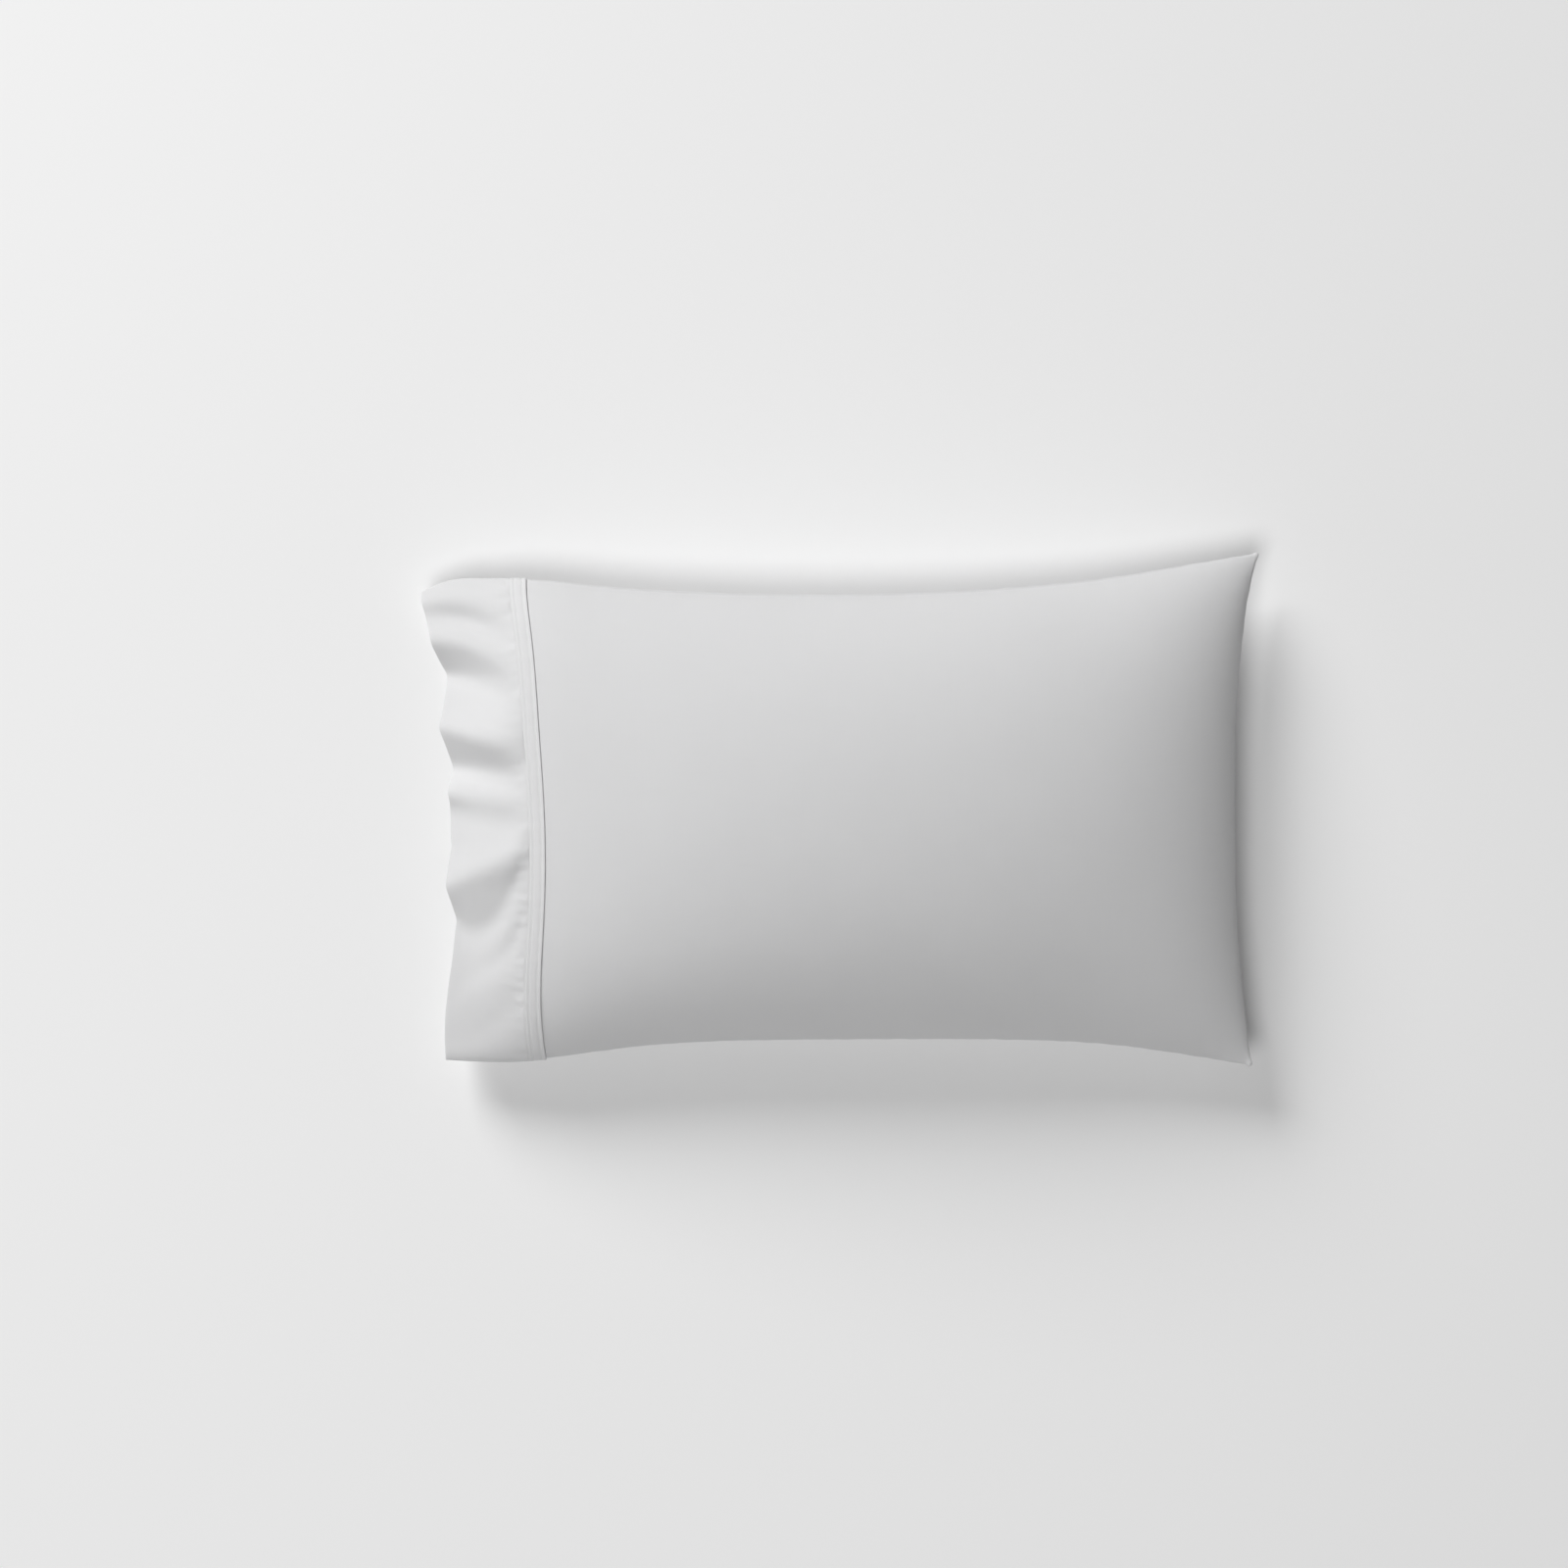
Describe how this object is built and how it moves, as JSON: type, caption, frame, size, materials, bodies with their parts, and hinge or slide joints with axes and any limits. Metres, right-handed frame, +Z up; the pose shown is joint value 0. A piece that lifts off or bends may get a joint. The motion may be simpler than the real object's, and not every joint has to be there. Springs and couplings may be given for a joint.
{
  "type": "filled bed pillowcase",
  "caption": "Filled white bed pillowcase with a full crown, pointed corners at its closed end and a deep open cuff that ripples past the filling.",
  "frame": {"origin": "on the surface that the pillowcase lies on, under the middle of its outline", "axes": "+X from the open cuff to the closed end, +Y across the case, +Z up out of its front"},
  "size_m": [0.8192, 0.5009, 0.154],
  "materials": {
    "case_cotton": "white percale cotton, smooth and matte",
    "cuff_cotton": "white percale cotton, doubled, smooth and matte"
  },
  "bodies": {
    "root": {"filled_case": "case_cotton", "cuff": "cuff_cotton"}
  },
  "joints": []
}
